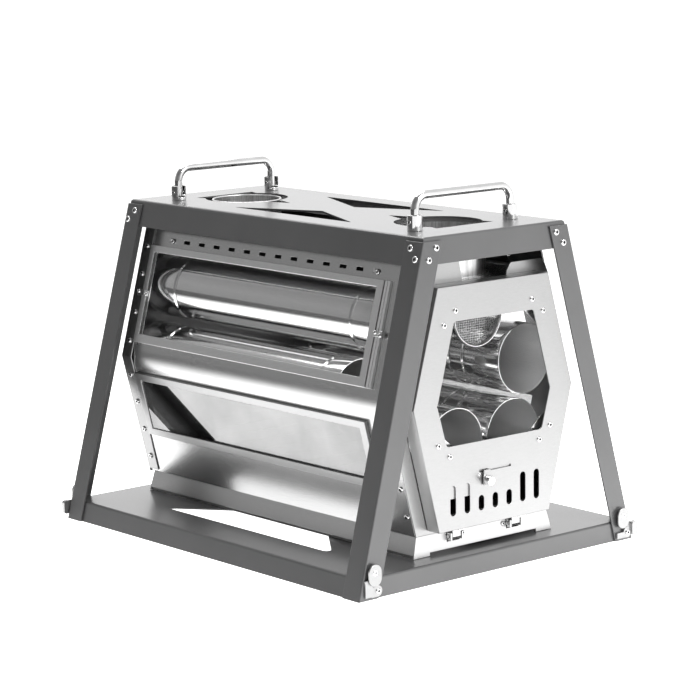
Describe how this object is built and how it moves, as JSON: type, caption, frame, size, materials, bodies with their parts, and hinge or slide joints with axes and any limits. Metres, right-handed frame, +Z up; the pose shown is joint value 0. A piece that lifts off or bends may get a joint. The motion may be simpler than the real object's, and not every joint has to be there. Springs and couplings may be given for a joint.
{
  "type": "rocket stove",
  "caption": "Portable wood stove with a hexagonal glass-windowed steel body, a drop-down door and an air damper, standing in a splayed two-deck carry rack with folding handles.",
  "frame": {"origin": "on the ground at the middle of the rack's footprint", "axes": "+Z up, -Y the side with the door, +X to the right seen from the door"},
  "size_m": [0.4048, 0.528, 0.4035],
  "materials": {
    "rack_paint": "fine satin powder coat",
    "satin_steel": "bright bead-blasted sheet",
    "brushed_steel": "brushed sheet",
    "pipe_steel": "smooth rolled tube",
    "dark_steel": "dull, heat-darkened",
    "chrome": "polished",
    "glass": "clear ceramic glass"
  },
  "bodies": {
    "rack_and_stove": {"top_deck": "rack_paint", "bottom_deck": "rack_paint", "leg_front_left": "rack_paint", "corner_bracket_front_left": "satin_steel", "handle_post_front_left": "chrome", "leg_front_right": "rack_paint", "corner_bracket_front_right": "satin_steel", "handle_post_front_right": "chrome", "leg_rear_left": "rack_paint", "corner_bracket_rear_left": "satin_steel", "handle_post_rear_left": "chrome", "leg_rear_right": "rack_paint", "corner_bracket_rear_right": "satin_steel", "handle_post_rear_right": "chrome", "side_panel_right": "brushed_steel", "window_frame_upper_right": "brushed_steel", "window_glass_upper_right": "glass", "window_frame_lower_right": "brushed_steel", "window_glass_lower_right": "glass", "hinge_bracket_right": "brushed_steel", "hinge_pin_right": "brushed_steel", "side_panel_left": "brushed_steel", "window_frame_upper_left": "brushed_steel", "window_glass_upper_left": "glass", "window_frame_lower_left": "brushed_steel", "window_glass_lower_left": "glass", "hinge_bracket_left": "brushed_steel", "hinge_pin_left": "brushed_steel", "rear_panel": "brushed_steel", "top_plate": "brushed_steel", "flue_collar": "brushed_steel", "pot_ring": "brushed_steel", "base_pan": "brushed_steel", "front_frame": "satin_steel", "grate": "dark_steel", "pipe_short": "pipe_steel", "pipe_lower_right": "pipe_steel", "pipe_upper_right": "pipe_steel", "pipe_lower_left": "pipe_steel", "pipe_upper_left": "pipe_steel", "spark_arrestor": "pipe_steel"},
    "door": {"door_pan": "satin_steel", "door_glass": "glass", "door_clip_top_left": "brushed_steel", "door_clip_top_right": "brushed_steel", "door_clip_bottom_left": "brushed_steel", "door_clip_bottom_right": "brushed_steel", "damper_guide": "brushed_steel", "door_lug_left": "brushed_steel", "door_lug_right": "brushed_steel"},
    "damper": {"damper_plate": "satin_steel", "damper_knob": "chrome"},
    "handle_front": {"handle_bar_front": "chrome"},
    "handle_rear": {"handle_bar_rear": "chrome"},
    "catch_front_left": {"turn_catch_front_left": "satin_steel"},
    "catch_front_right": {"turn_catch_front_right": "satin_steel"},
    "catch_rear_left": {"turn_catch_rear_left": "satin_steel"},
    "catch_rear_right": {"turn_catch_rear_right": "satin_steel"}
  },
  "joints": [
    {"name": "door_hinge", "type": "hinge", "parent": "rack_and_stove", "child": "door", "pos_m": [0, -0.232, 0.0395], "axis": [1, 0, 0], "range_deg": [0, 85]},
    {"name": "damper_slide", "type": "slide", "parent": "door", "child": "damper", "axis": [1, 0, 0], "range_m": [0, 0.028]},
    {"name": "handle_front_fold", "type": "hinge", "parent": "rack_and_stove", "child": "handle_front", "pos_m": [0, -0.203, 0.3713], "axis": [-1, 0, 0], "range_deg": [0, 90]},
    {"name": "handle_rear_fold", "type": "hinge", "parent": "rack_and_stove", "child": "handle_rear", "pos_m": [0, 0.203, 0.3713], "axis": [1, 0, 0], "range_deg": [0, 90]},
    {"name": "catch_front_left_turn", "type": "hinge", "parent": "rack_and_stove", "child": "catch_front_left", "pos_m": [-0.18, -0.2615, 0.029], "axis": [0, 1, 0], "range_deg": [-90, 90]},
    {"name": "catch_front_right_turn", "type": "hinge", "parent": "rack_and_stove", "child": "catch_front_right", "pos_m": [0.18, -0.2615, 0.029], "axis": [0, 1, 0], "range_deg": [-90, 90]},
    {"name": "catch_rear_left_turn", "type": "hinge", "parent": "rack_and_stove", "child": "catch_rear_left", "pos_m": [-0.18, 0.2615, 0.029], "axis": [0, 1, 0], "range_deg": [-90, 90]},
    {"name": "catch_rear_right_turn", "type": "hinge", "parent": "rack_and_stove", "child": "catch_rear_right", "pos_m": [0.18, 0.2615, 0.029], "axis": [0, 1, 0], "range_deg": [-90, 90]}
  ]
}
